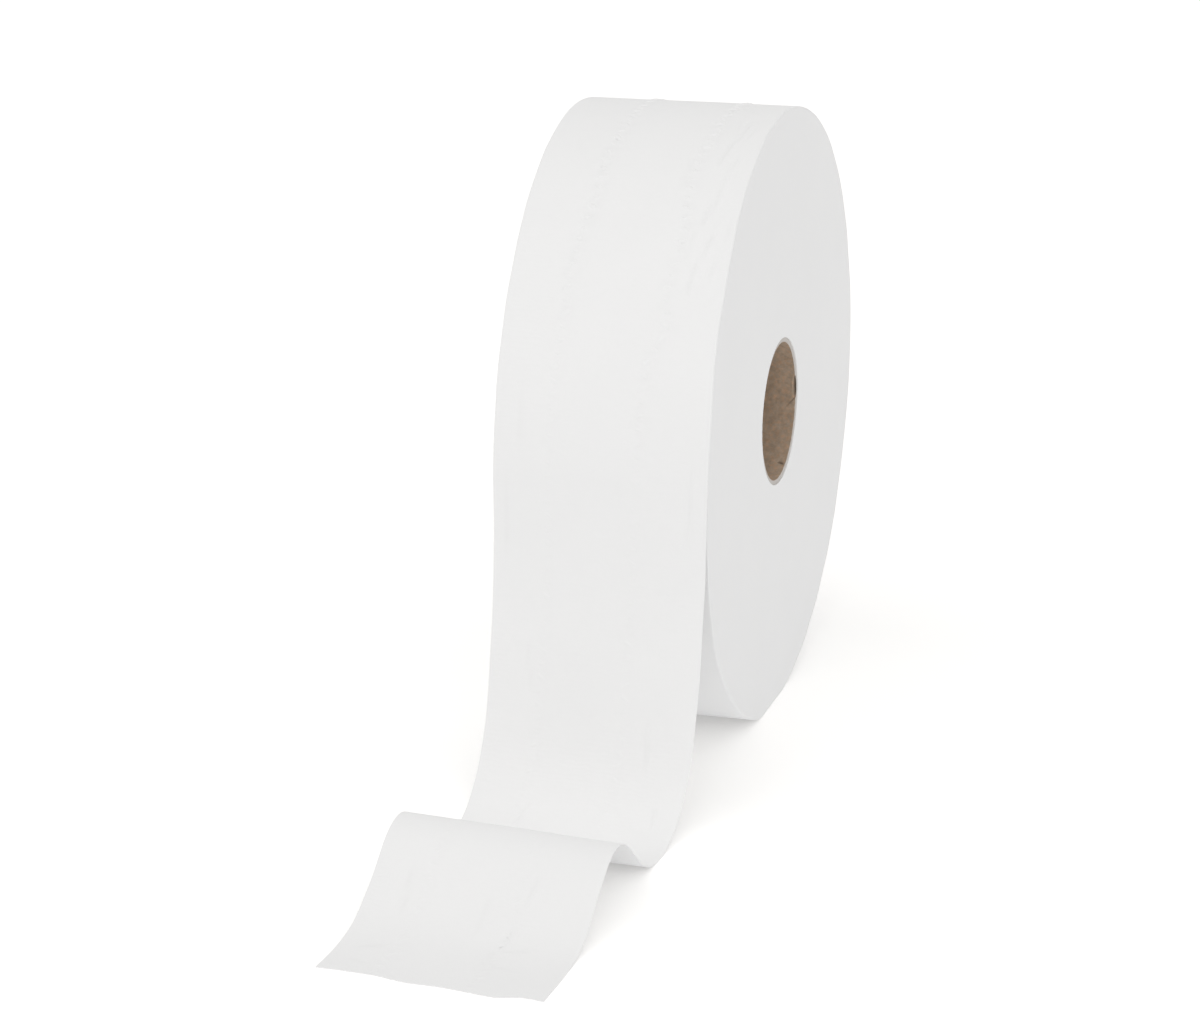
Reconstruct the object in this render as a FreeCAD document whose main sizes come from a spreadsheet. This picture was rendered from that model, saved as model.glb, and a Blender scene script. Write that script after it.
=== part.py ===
import FreeCAD, Part
import math
import os
import Sketcher

# A jumbo toilet paper roll that stands on its rim, with the loose end of its web hanging in front
# and lying in a curl on the floor. Millimetres and degrees. The origin is the core's centre.
# +X runs along the core, -Y towards the loose end and +Z up.

doc = FreeCAD.newDocument("toilet_paper_roll")
sheet = doc.addObject("Spreadsheet::Sheet", "Sizes")

DRIVING_SIZES = [
    ("roll_diameter", "264"),    # over the outermost turn
    ("roll_width", "90"),        # width of the web
    ("flat_length", "28"),       # where the soft roll's own weight flattens it on the floor, along Y
    ("rim_crush", "0.8"),        # bevel where the outer turns are crushed at the roll's two rims
    ("core_bore", "60"),         # inside diameter of the board tube
    ("core_wall", "2"),          # three plies of board
    ("core_recess", "0.5"),      # the tube ends this far inside the roll's faces
    ("winding_gap", "0.05"),     # between the tube and the first turn
    ("seam_lead", "165"),        # length of tube in which the board seam makes one turn
    ("seam_width", "0.9"),       # open butt seam between neighbouring strips of board
    ("seam_depth", "0.35"),      # the inner ply alone
    ("sheet_thickness", "0.3"),  # two loose plies
    ("peel_depth", "0.05"),      # the loose end starts this far under the outer turn
    ("hang_run", "5"),           # loose end, straight down from the roll's front
    ("lean_angle", "26"),        # then it leans forward by this much
    ("lean_run", "5"),           # and runs straight for a moment
    ("curl_radius", "45"),       # the sweep on to the floor
    ("rise_angle", "45"),        # how steeply it comes up again
    ("rise_run", "9"),           # straight part of that rise
    ("hump_radius", "26"),       # top of the hump
    ("fall_angle", "36"),        # how steeply it goes down
    ("fall_run", "8"),           # straight part of that fall
    ("end_run", "15"),           # last stretch, flat on the floor
    ("turn_pitch", "12"),        # between the turn lines that show on an end face
    ("turn_margin", "4"),        # from the turn lines to the rim, and to the core
    ("turn_width", "0.5"),       # of a turn line
    ("turn_depth", "0.3"),       # of a turn line
]
for row, (alias, number) in enumerate(DRIVING_SIZES, 1):
    sheet.set(f"A{row}", alias)
    sheet.set(f"B{row}", number)
    sheet.setAlias(f"B{row}", alias)
doc.recompute()

# Formulas of those sizes that more than one feature uses
ROLL_RADIUS = "Sizes.roll_diameter / 2"
FLOOR_DROP = "sqrt((Sizes.roll_diameter / 2) ^ 2 - (Sizes.flat_length / 2) ^ 2)"
TUBE_OUTSIDE = "(Sizes.core_bore / 2 + Sizes.core_wall)"
TUBE_LENGTH = "(Sizes.roll_width - 2 * Sizes.core_recess)"
CUT_OVERRUN = "2"                # cutting tools pass the surface that they cut by this much


def size(alias):
    return float(getattr(sheet, alias))


def point(across, up):
    return FreeCAD.Vector(across, up, 0)


def origin_plane(body, role):
    return next(part for part in body.Origin.OriginFeatures if part.Role == role)


def new_sketch(body, name, role, offset=None):
    """Sketch on one of the body's origin planes, moved off it by the formula in offset."""
    sketch = body.newObject("Sketcher::SketchObject", name)
    sketch.AttachmentSupport = (origin_plane(body, role), [""])
    sketch.MapMode = "FlatFace"
    if offset:
        sketch.setExpression(".AttachmentOffset.Base.z", offset)
    return sketch


def bind(sketch, kind, where, value, formula):
    """Adds a dimension with a starting value and ties it to the sheet."""
    number = sketch.addConstraint(Sketcher.Constraint(kind, *where, value))
    sketch.setExpression(f"Constraints[{number}]", formula)
    return number


def fixed_circle(sketch, radius, formula):
    """Circle about the sketch's origin."""
    circle = sketch.addGeometry(Part.Circle(point(0, 0), FreeCAD.Vector(0, 0, 1), radius))
    sketch.addConstraint(Sketcher.Constraint("Coincident", circle, 3, -1, 1))
    bind(sketch, "Radius", (circle,), radius, formula)


def ring_pad(body, outside, outside_formula, inside, inside_formula, length_formula):
    """Thick tube about the X axis, half of it on each side of the origin."""
    sketch = new_sketch(body, body.Name + "_section", "YZ_Plane")
    fixed_circle(sketch, outside, outside_formula)
    fixed_circle(sketch, inside, inside_formula)
    pad = body.newObject("PartDesign::Pad", body.Name + "_wall")
    pad.Profile = sketch
    pad.Midplane = True
    pad.setExpression("Length", length_formula)
    doc.recompute()
    return pad


def rectangle(sketch, low, high, formulas):
    """Rectangle from corner low to corner high. Its four formulas are left, right, low, high."""
    corners = [low, (high[0], low[1]), high, (low[0], high[1])]
    lines = []
    for here, there in zip(corners, corners[1:] + corners[:1]):
        lines.append(sketch.addGeometry(Part.LineSegment(point(*here), point(*there))))
    for line, following in zip(lines, lines[1:] + lines[:1]):
        sketch.addConstraint(Sketcher.Constraint("Coincident", line, 2, following, 1))
    for line, direction in zip(lines, ["Horizontal", "Vertical"] * 2):
        sketch.addConstraint(Sketcher.Constraint(direction, line))
    left, right, bottom, top = formulas
    bind(sketch, "DistanceX", (-1, 1, lines[0], 1), low[0], left)
    bind(sketch, "DistanceX", (-1, 1, lines[2], 1), high[0], right)
    bind(sketch, "DistanceY", (-1, 1, lines[0], 1), low[1], bottom)
    bind(sketch, "DistanceY", (-1, 1, lines[2], 1), high[1], top)


def volume_change(feature, before):
    doc.recompute()
    return feature.Shape.Volume - before


# The wound turns: a thick ring of tissue, crushed a little at its rims and under its own weight

def wind_roll(body):
    radius = size("roll_diameter") / 2
    tube = size("core_bore") / 2 + size("core_wall")
    wall = ring_pad(body, radius, ROLL_RADIUS, tube + size("winding_gap"),
                    TUBE_OUTSIDE + " + Sizes.winding_gap", "Sizes.roll_width")
    rims = [f"Edge{number}" for number, edge in enumerate(wall.Shape.Edges, 1)
            if edge.Closed and abs(edge.BoundBox.YLength - 2 * radius) < radius / 100
            and edge.BoundBox.XLength < radius / 100]
    bevel = body.newObject("PartDesign::Chamfer", "crushed_rims")
    bevel.Base = (wall, rims)
    bevel.setExpression("Size", "Sizes.rim_crush")
    doc.recompute()

    drop = math.sqrt(radius ** 2 - (size("flat_length") / 2) ** 2)
    below = radius + float(CUT_OVERRUN)
    flat = new_sketch(body, "floor_cut", "YZ_Plane")
    rectangle(flat, (-radius, -below), (radius, -drop),
              ["-" + ROLL_RADIUS, ROLL_RADIUS, f"-({ROLL_RADIUS} + {CUT_OVERRUN})", "-" + FLOOR_DROP])
    cut = body.newObject("PartDesign::Pocket", "floor_flat")
    cut.Profile = flat
    cut.Midplane = True
    cut.setExpression("Length", f"Sizes.roll_width + {CUT_OVERRUN}")
    if volume_change(cut, bevel.Shape.Volume) >= 0:
        raise RuntimeError("the floor flat cuts nothing")


# The loose end: one strip of the web, swept along tangent lines and arcs

def heading(angle):
    """Way along the path, where 0 is straight down and 90 is forward along the floor."""
    turned = math.radians(angle)
    return point(-math.sin(turned), -math.cos(turned))


def turn(here, radius, from_angle, to_angle):
    """Arc that takes the path from one heading to another, with its end points in path order."""
    side = 1 if to_angle > from_angle else -1
    offset = 90 * side
    centre = here + heading(from_angle + offset) * radius
    there = centre - heading(to_angle + offset) * radius
    angles = [math.atan2(end.y - centre.y, end.x - centre.x) for end in (here, there)]
    first, last = (angles[1], angles[0]) if side > 0 else angles
    if last < first:
        last += 2 * math.pi
    arc = Part.ArcOfCircle(Part.Circle(centre, FreeCAD.Vector(0, 0, 1), radius), first, last)
    ends = (2, 1) if side > 0 else (1, 2)
    return arc, ends, there


def loose_end_path(body):
    """Path of the strip's middle, from the front of the roll to its torn edge."""
    radius = size("roll_diameter") / 2
    half_sheet = size("sheet_thickness") / 2
    drop = math.sqrt(radius ** 2 - (size("flat_length") / 2) ** 2) - half_sheet
    lean, rise, fall = (math.radians(size(name)) for name in ("lean_angle", "rise_angle", "fall_angle"))
    curl, hump = size("curl_radius"), size("hump_radius")
    # The first arc takes up the height that is left, and the last one brings the hump down again
    first = (drop - size("hang_run") - size("lean_run") * math.cos(lean)
             - curl * (1 - math.sin(lean))) / math.sin(lean)
    crest = (curl + hump) * (1 - math.cos(rise)) + size("rise_run") * math.sin(rise)
    last = (crest - size("fall_run") * math.sin(fall)) / (1 - math.cos(fall)) - hump

    headings = [0, size("lean_angle"), 90 + size("rise_angle"), 90 - size("fall_angle"), 90]
    runs = [size(name) for name in ("hang_run", "lean_run", "rise_run", "fall_run", "end_run")]
    radii = [first, curl, hump, last]
    sketch = new_sketch(body, "loose_end_path", "YZ_Plane")
    here = point(-radius + size("peel_depth") + half_sheet, 0)
    lines, arcs, joints = [], [], []
    for step, run in enumerate(runs):
        there = here + heading(headings[step]) * run
        lines.append(sketch.addGeometry(Part.LineSegment(here, there)))
        joints += [(lines[-1], 1), (lines[-1], 2)]
        here = there
        if step < len(radii):
            arc, ends, here = turn(here, radii[step], headings[step], headings[step + 1])
            arcs.append(sketch.addGeometry(arc))
            joints += [(arcs[-1], ends[0]), (arcs[-1], ends[1])]
    for leaving, entering in zip(joints[1::2], joints[2::2]):
        sketch.addConstraint(Sketcher.Constraint("Tangent", *leaving, *entering))

    sketch.addConstraint(Sketcher.Constraint("PointOnObject", lines[0], 1, -1))
    bind(sketch, "DistanceX", (lines[0], 1, -1, 1), radius - size("peel_depth") - half_sheet,
         ROLL_RADIUS + " - Sizes.peel_depth - Sizes.sheet_thickness / 2")
    sketch.addConstraint(Sketcher.Constraint("Vertical", lines[0]))
    sketch.addConstraint(Sketcher.Constraint("Horizontal", lines[4]))
    for line, name in zip(lines, ("hang_run", "lean_run", "rise_run", "fall_run", "end_run")):
        bind(sketch, "Distance", (line,), size(name), "Sizes." + name)
    for arc, name in zip(arcs[1:3], ("curl_radius", "hump_radius")):
        bind(sketch, "Radius", (arc,), size(name), "Sizes." + name)
    # Each straight run's drop fixes its slope
    bind(sketch, "DistanceY", (lines[1], 2, lines[1], 1), size("lean_run") * math.cos(lean),
         "Sizes.lean_run * cos(Sizes.lean_angle)")
    bind(sketch, "DistanceY", (lines[2], 1, lines[2], 2), size("rise_run") * math.sin(rise),
         "Sizes.rise_run * sin(Sizes.rise_angle)")
    bind(sketch, "DistanceY", (lines[3], 2, lines[3], 1), size("fall_run") * math.sin(fall),
         "Sizes.fall_run * sin(Sizes.fall_angle)")
    # The low point of the curl and the last run both lie on the floor
    bind(sketch, "DistanceY", (arcs[1], 3, -1, 1), drop - curl,
         FLOOR_DROP + " - Sizes.sheet_thickness / 2 - Sizes.curl_radius")
    bind(sketch, "DistanceY", (lines[4], 2, -1, 1), drop, FLOOR_DROP + " - Sizes.sheet_thickness / 2")
    return sketch


def hang_loose_end(body):
    path = loose_end_path(body)
    outer = size("roll_diameter") / 2 - size("peel_depth")
    half_width = size("roll_width") / 2
    section = new_sketch(body, "web_section", "XY_Plane")
    rectangle(section, (-half_width, -outer), (half_width, -outer + size("sheet_thickness")),
              ["-Sizes.roll_width / 2", "Sizes.roll_width / 2",
               f"-({ROLL_RADIUS} - Sizes.peel_depth)",
               f"-({ROLL_RADIUS} - Sizes.peel_depth - Sizes.sheet_thickness)"])
    doc.recompute()
    before = body.Tip.Shape.Volume
    strip = body.newObject("PartDesign::AdditivePipe", "loose_end")
    strip.Profile = section
    strip.Spine = (path, [f"Edge{number}" for number in range(1, len(path.Shape.Edges) + 1)])
    added = volume_change(strip, before)
    whole = sum(edge.Length for edge in path.Shape.Edges)
    print("loose end", round(whole, 1), "mm long, adds", round(added), "cubic mm of",
          round(whole * size("roll_width") * size("sheet_thickness")))
    return strip


# The turns: one line that winds outwards from the core and ends where the loose end leaves

def wind_turn_lines(body):
    """Spiral of half circles about two centres, cut shallowly into both end faces."""
    pitch, half_line = size("turn_pitch"), size("turn_width") / 2
    outermost = size("roll_diameter") / 2 - size("turn_margin")
    innermost = size("core_bore") / 2 + size("core_wall") + size("turn_margin")
    halves = int((outermost - innermost) / (pitch / 2))
    sketch = new_sketch(body, "turn_line", "YZ_Plane", "Sizes.roll_width / 2")
    walls = {-1: [], 1: []}
    for step in range(halves):
        # Step 0 is the outermost half turn, over the top of the roll. It ends at the front.
        over_top = step % 2 == 0
        centre = -pitch / 4 if over_top else pitch / 4
        radius = outermost - pitch / 4 - step * pitch / 2
        centre_formula = "Sizes.turn_pitch / 4"
        radius_formula = f"{ROLL_RADIUS} - Sizes.turn_margin - Sizes.turn_pitch * {0.25 + step / 2}"
        for side, wall in walls.items():
            first = 0 if over_top else math.pi
            circle = Part.Circle(point(centre, 0), FreeCAD.Vector(0, 0, 1), radius + side * half_line)
            arc = sketch.addGeometry(Part.ArcOfCircle(circle, first, first + math.pi))
            ends = ((-1, 1, arc, 3) if not over_top else (arc, 3, -1, 1))
            sketch.addConstraint(Sketcher.Constraint("PointOnObject", arc, 3, -1))
            bind(sketch, "DistanceX", ends, pitch / 4, centre_formula)
            bind(sketch, "Radius", (arc,), radius + side * half_line,
                 f"{radius_formula} + {side} * Sizes.turn_width / 2")
            sketch.addConstraint(Sketcher.Constraint("PointOnObject", arc, 1, -1))
            sketch.addConstraint(Sketcher.Constraint("PointOnObject", arc, 2, -1))
            wall.append(arc)
    # A short line closes each end of the spiral
    for step, end in ((0, 2), (halves - 1, 1)):
        inner, outer = walls[-1][step], walls[1][step]
        ends = [sketch.getPoint(arc, end) for arc in (inner, outer)]
        line = sketch.addGeometry(Part.LineSegment(*ends))
        sketch.addConstraint(Sketcher.Constraint("Coincident", line, 1, inner, end))
        sketch.addConstraint(Sketcher.Constraint("Coincident", line, 2, outer, end))
    doc.recompute()
    before = body.Tip.Shape.Volume
    line_cut = body.newObject("PartDesign::Pocket", "turn_line_right")
    line_cut.Profile = sketch
    line_cut.setExpression("Length", "Sizes.turn_depth")
    if volume_change(line_cut, before) >= 0:
        line_cut.Reversed = True
    if volume_change(line_cut, before) >= 0:
        raise RuntimeError("the turn line cuts nothing")
    both = body.newObject("PartDesign::Mirrored", "turn_lines")
    both.Originals = [line_cut]
    both.MirrorPlane = (origin_plane(body, "YZ_Plane"), [""])
    body.Tip = both
    doc.recompute()


# The core: a board tube with the helical seam of its inner ply, which starts at the back of the
# right mouth and drops as it goes in

def wind_core(body):
    inside = size("core_bore") / 2
    wall = ring_pad(body, inside + size("core_wall"), TUBE_OUTSIDE, inside, "Sizes.core_bore / 2",
                    TUBE_LENGTH)
    mouth = size("roll_width") / 2 - size("core_recess") + float(CUT_OVERRUN)
    mouth_formula = f"{TUBE_LENGTH} / 2 + {CUT_OVERRUN}"
    sketch = new_sketch(body, "seam_section", "XY_Plane")
    rectangle(sketch, (mouth - size("seam_width"), inside - size("seam_depth")),
              (mouth, inside + size("seam_depth")),
              [mouth_formula + " - Sizes.seam_width", mouth_formula,
               "Sizes.core_bore / 2 - Sizes.seam_depth", "Sizes.core_bore / 2 + Sizes.seam_depth"])
    doc.recompute()
    seam = body.newObject("PartDesign::SubtractiveHelix", "board_seam")
    seam.Profile = sketch
    seam.ReferenceAxis = (sketch, ["H_Axis"])
    seam.Mode = 0
    seam.Reversed = True
    seam.setExpression("Pitch", "Sizes.seam_lead")
    seam.setExpression("Height", f"{TUBE_LENGTH} + 2 * {CUT_OVERRUN}")
    if volume_change(seam, wall.Shape.Volume) >= 0:
        raise RuntimeError("the board seam cuts nothing")


def new_body(name):
    body = doc.addObject("PartDesign::Body", name)
    body.Label = name
    body.Placement = FreeCAD.Placement()
    return body


web = new_body("tissue_web")
wind_roll(web)
hang_loose_end(web)
wind_turn_lines(web)
core = new_body("cardboard_core")
wind_core(core)
doc.recompute()

for item in doc.Objects:
    if "Invalid" in item.State or "Error" in item.State:
        raise RuntimeError(f"{item.Name} failed: {item.State}")
os.makedirs("parts", exist_ok=True)
for body in (web, core):
    shape = body.Shape
    if shape.isNull() or not shape.isValid() or len(shape.Solids) != 1:
        raise RuntimeError(f"{body.Label} is not one valid solid")
for body in (web, core):
    body.Shape.exportStep(f"parts/{body.Label}.step")
    print(body.Label, round(body.Shape.Volume), "cubic mm")
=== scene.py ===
import math

import bpy
import numpy as np
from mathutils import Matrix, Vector, noise


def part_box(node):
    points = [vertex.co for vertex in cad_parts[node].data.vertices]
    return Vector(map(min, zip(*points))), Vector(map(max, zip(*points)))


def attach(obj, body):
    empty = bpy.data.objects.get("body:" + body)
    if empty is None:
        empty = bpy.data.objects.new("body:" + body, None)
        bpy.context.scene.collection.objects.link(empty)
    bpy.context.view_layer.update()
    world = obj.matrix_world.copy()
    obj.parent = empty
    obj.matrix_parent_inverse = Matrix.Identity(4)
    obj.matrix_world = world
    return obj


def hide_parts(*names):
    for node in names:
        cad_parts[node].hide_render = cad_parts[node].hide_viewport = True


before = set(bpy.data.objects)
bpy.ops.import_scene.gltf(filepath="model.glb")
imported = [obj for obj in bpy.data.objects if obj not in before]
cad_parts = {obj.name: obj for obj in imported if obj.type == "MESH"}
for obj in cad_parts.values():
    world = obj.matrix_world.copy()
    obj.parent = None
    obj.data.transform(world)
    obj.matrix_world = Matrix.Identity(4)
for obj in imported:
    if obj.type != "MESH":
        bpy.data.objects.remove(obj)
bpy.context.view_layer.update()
mm = 0.001

webLow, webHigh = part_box("tissue_web")
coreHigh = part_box("cardboard_core")[1]
rollRadius = webHigh.z
floorLevel = webLow.z
print("frame loaded: roll radius", round(rollRadius, 4), "floor", round(floorLevel, 5))


# small tools

def smoothCurve(pairs, at):
    # smooth line through given (place, value) pairs
    places, values = np.array(pairs, float).T
    slopes = np.gradient(values, places)
    at = np.clip(at, places[0], places[-1])
    i = np.clip(np.searchsorted(places, at, side="right") - 1, 0, len(places) - 2)
    step = places[i + 1] - places[i]
    t = (at - places[i]) / step
    start = (2 * t**3 - 3 * t**2 + 1) * values[i] + (t**3 - 2 * t**2 + t) * step * slopes[i]
    end = (3 * t**2 - 2 * t**3) * values[i + 1] + (t**3 - t**2) * step * slopes[i + 1]
    return start + end


def ease(value, low, high):
    t = np.clip((np.asarray(value, float) - low) / (high - low), 0, 1)
    return t * t * (3 - 2 * t)


def cloud(x, y, z, size, seed):
    # soft noise from -1 to 1 over arrays of places; size is (across, along) in metres
    spots = zip((x / size[0]).ravel(), (y / size[1]).ravel(), (z / size[1]).ravel())
    return np.array([noise.noise((a + seed, b - seed, c)) for a, b, c in spots]).reshape(x.shape)


def alongLine(x, y, start, end):
    # share of the way from start to end, and distance to the side of that line
    run = end - start
    length = np.hypot(*run)
    x, y = x - start[0], y - start[1]
    return (x * run[0] + y * run[1]) / length**2, (x * run[1] - y * run[0]) / length


def gridFaces(at, rows, columns):
    return [(at(r, c), at(r, c + 1), at(r + 1, c + 1), at(r + 1, c))
            for r in range(rows) for c in range(columns)]


def addObject(name, data):
    thing = bpy.data.objects.new(name, data)
    bpy.context.scene.collection.objects.link(thing)
    return thing


def meshPiece(name, corners, faces):
    mesh = bpy.data.meshes.new(name)
    mesh.from_pydata(corners, [], faces)
    mesh.validate()
    mesh.polygons.foreach_set("use_smooth", [True] * len(mesh.polygons))
    return addObject(name, mesh)


def storeValues(mesh, name, values, kind="FLOAT", field="value"):
    # one number or one vector for each corner of the mesh
    mesh.attributes.new(name, kind, "POINT").data.foreach_set(field, np.ravel(values))


def nodeMaker(tree):
    # a function that adds a node to this tree, with its settings first: they decide which sockets it has
    def add(kind, inputs=None, **settings):
        node = tree.nodes.new(kind)
        for key, value in settings.items():
            setattr(node, key, value)
        for key, value in (inputs or {}).items():
            node.inputs[key].default_value = value
        return node

    return add


def joinSockets(tree, pairs):
    for output, target in pairs:
        tree.links.new(output, target)


# material groups

def makeFibreGroup():
    # uneven pulp: a slow cloud and short fibres, as a tone around 1 and a height
    group = bpy.data.node_groups.new("fibreClouds", "ShaderNodeTree")
    sockets = [
        ("Vector", "INPUT", "NodeSocketVector", None),
        ("Cloud Scale", "INPUT", "NodeSocketFloat", 60.0),
        ("Fibre Scale", "INPUT", "NodeSocketFloat", 900.0),
        ("Contrast", "INPUT", "NodeSocketFloat", 0.05),
        ("Tone", "OUTPUT", "NodeSocketFloat", None),
        ("Height", "OUTPUT", "NodeSocketFloat", None),
    ]
    for label, side, kind, value in sockets:
        socket = group.interface.new_socket(label, in_out=side, socket_type=kind)
        if value is not None:
            socket.default_value = value
    add = nodeMaker(group)
    inlet, outlet = add("NodeGroupInput"), add("NodeGroupOutput")
    slow = add("ShaderNodeTexNoise", {"Detail": 3.0})
    fine = add("ShaderNodeTexNoise", {"Detail": 2.0, "Distortion": 0.8})
    # tone = 1 + contrast * (slow + fine / 2 - 0.75), where 0.75 is the middle of the sum
    blend = add("ShaderNodeMath", {1: 0.5}, operation="MULTIPLY_ADD")
    centre = add("ShaderNodeMath", {1: 0.75}, operation="SUBTRACT")
    tone = add("ShaderNodeMath", {2: 1.0}, operation="MULTIPLY_ADD")
    joinSockets(group, [
        (inlet.outputs["Vector"], slow.inputs["Vector"]),
        (inlet.outputs["Vector"], fine.inputs["Vector"]),
        (inlet.outputs["Cloud Scale"], slow.inputs["Scale"]),
        (inlet.outputs["Fibre Scale"], fine.inputs["Scale"]),
        (fine.outputs["Fac"], blend.inputs[0]),
        (slow.outputs["Fac"], blend.inputs[2]),
        (blend.outputs[0], centre.inputs[0]),
        (centre.outputs[0], tone.inputs[0]),
        (inlet.outputs["Contrast"], tone.inputs[1]),
        (tone.outputs[0], outlet.inputs["Tone"]),
        (fine.outputs["Fac"], outlet.inputs["Height"]),
    ])
    return group


fibreGroup = makeFibreGroup()


def startMaterial(name, roughness, specular):
    material = bpy.data.materials.new(name)
    material.use_nodes = True
    tree = material.node_tree
    shader = tree.nodes["Principled BSDF"]
    shader.inputs["Roughness"].default_value = roughness
    shader.inputs["Specular IOR Level"].default_value = specular
    return material, tree, shader


def fibreNode(tree, look):
    return nodeMaker(tree)("ShaderNodeGroup", {
        "Cloud Scale": look["cloudScale"],
        "Fibre Scale": look["fibreScale"],
        "Contrast": look["contrast"],
    }, node_tree=fibreGroup)


def waveScale(lines):
    # the Wave texture's scale for this many lines to the metre
    return lines / 10 * math.pi


tissuePaper = {
    "colour": (0.87, 0.869, 0.868),
    "cutTone": 0.985,            # the cut end faces are a shade darker
    "paintedValleyShadeTone": 0.978,          # painted shade: the valleys of creases and bond marks are darker too
    "roughness": 0.95,
    "specular": 0.15,
    "cloudScale": 35.0,
    "fibreScale": 1400.0,
    "contrast": 0.02,
    "crepeLines": 450.0,         # crepe ridges to the metre of web
    "crepeWander": 6.0,
    "crepeDepth": 0.02 * mm,
    "turnLines": 210.0,          # wound turns that show on an end face, to the metre of radius
    "turnWander": 1.5,
}


def makeTissuePaper():
    look = tissuePaper
    material, tree, shader = startMaterial("tissuePaper", look["roughness"], look["specular"])
    add = nodeMaker(tree)
    webMap = add("ShaderNodeUVMap", uv_map="webMap")
    place = add("ShaderNodeTexCoord")
    edge = add("ShaderNodeAttribute", attribute_name="cutEdge")
    # painted shade in the valleys of creases and bond marks darkens the colour
    valley = add("ShaderNodeAttribute", attribute_name="paintedValleyShade")
    dim = add("ShaderNodeMapRange", {"To Min": 1.0, "To Max": look["paintedValleyShadeTone"]})
    tone = add("ShaderNodeMath", operation="MULTIPLY")
    fibres = fibreNode(tree, look)
    crepe = add("ShaderNodeTexWave", {
        "Scale": waveScale(look["crepeLines"]), "Distortion": look["crepeWander"],
        "Detail": 2.0, "Detail Scale": 1.5,
    }, wave_type="BANDS", bands_direction="Y")
    turns = add("ShaderNodeTexWave", {
        "Scale": waveScale(look["turnLines"]), "Distortion": look["turnWander"], "Detail": 2.0,
    }, wave_type="RINGS", rings_direction="X")

    cutColour = [look["cutTone"] * part for part in look["colour"]]
    tint = add("ShaderNodeMix", {"A": (*look["colour"], 1), "B": (*cutColour, 1)}, data_type="RGBA")
    shade = add("ShaderNodeVectorMath", operation="SCALE")
    relief = add("ShaderNodeMix", data_type="FLOAT")
    bump = add("ShaderNodeBump", {"Strength": 1.0, "Distance": look["crepeDepth"]})
    joinSockets(tree, [
        (place.outputs["Object"], fibres.inputs["Vector"]),
        (webMap.outputs["UV"], crepe.inputs["Vector"]),
        (place.outputs["Object"], turns.inputs["Vector"]),
        (edge.outputs["Fac"], tint.inputs["Factor"]),
        (tint.outputs["Result"], shade.inputs[0]),
        (valley.outputs["Fac"], dim.inputs["Value"]),
        (fibres.outputs["Tone"], tone.inputs[0]),
        (dim.outputs["Result"], tone.inputs[1]),
        (tone.outputs[0], shade.inputs["Scale"]),
        (shade.outputs[0], shader.inputs["Base Color"]),
        (edge.outputs["Fac"], relief.inputs["Factor"]),
        (crepe.outputs["Fac"], relief.inputs["A"]),
        (turns.outputs["Fac"], relief.inputs["B"]),
        (relief.outputs["Result"], bump.inputs["Height"]),
        (bump.outputs["Normal"], shader.inputs["Normal"]),
    ])
    return material


boardPaper = {
    "colour": (0.43, 0.332, 0.247),
    "greySpeck": (0.40, 0.323, 0.252), "greyAt": 0.36,
    "warmSpeck": (0.495, 0.342, 0.236), "warmAt": 0.66,
    "cutColour": (0.57, 0.54, 0.51),     # the fuzzy sawn edge is paler
    "roughness": 0.9,
    "specular": 0.2,
    "cloudScale": 330.0,
    "fibreScale": 1100.0,
    "speckScale": 620.0,
    "contrast": 0.75,
    "fibreDepth": 0.08 * mm,
    "fibreStrength": 0.7,
    "paintedGapShadeTone": 0.25,                     # painted shade: the lifted ply's gap, the seam and the nick are darkened
}


def makeBoardPaper():
    look = boardPaper
    material, tree, shader = startMaterial("boardPaper", look["roughness"], look["specular"])
    add = nodeMaker(tree)
    place = add("ShaderNodeTexCoord")
    edge = add("ShaderNodeAttribute", attribute_name="cutEdge")
    # painted shade in the lifted ply's gap, the seam and the nick
    gap = add("ShaderNodeAttribute", attribute_name="paintedGapShade")
    fibres = fibreNode(tree, look)
    specks = add("ShaderNodeTexNoise", {"Scale": look["speckScale"], "Detail": 4.0, "Roughness": 0.65})
    pick = add("ShaderNodeValToRGB")
    stops = pick.color_ramp.elements
    stops[0].position, stops[0].color = look["greyAt"], (*look["greySpeck"], 1)
    stops[1].position, stops[1].color = look["warmAt"], (*look["warmSpeck"], 1)
    stops.new(0.5).color = (*look["colour"], 1)
    shade, dark = (add("ShaderNodeVectorMath", operation="SCALE") for _ in range(2))
    cut = add("ShaderNodeMix", {"B": (*look["cutColour"], 1)}, data_type="RGBA")
    dim = add("ShaderNodeMapRange", {"To Min": 1.0, "To Max": look["paintedGapShadeTone"]})
    bump = add("ShaderNodeBump", {"Strength": look["fibreStrength"], "Distance": look["fibreDepth"]})
    joinSockets(tree, [
        (place.outputs["Object"], fibres.inputs["Vector"]),
        (place.outputs["Object"], specks.inputs["Vector"]),
        (specks.outputs["Fac"], pick.inputs["Fac"]),
        (pick.outputs["Color"], shade.inputs[0]),
        (fibres.outputs["Tone"], shade.inputs["Scale"]),
        (shade.outputs[0], cut.inputs["A"]),
        (edge.outputs["Fac"], cut.inputs["Factor"]),
        (cut.outputs["Result"], dark.inputs[0]),
        (gap.outputs["Fac"], dim.inputs["Value"]),
        (dim.outputs["Result"], dark.inputs["Scale"]),
        (dark.outputs[0], shader.inputs["Base Color"]),
        (fibres.outputs["Height"], bump.inputs["Height"]),
        (bump.outputs["Normal"], shader.inputs["Normal"]),
    ])
    return material


tissueMaterial = makeTissuePaper()
boardMaterial = makeBoardPaper()
print("materials made")


# the web of tissue: wound turns and loose end in one sheet

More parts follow.
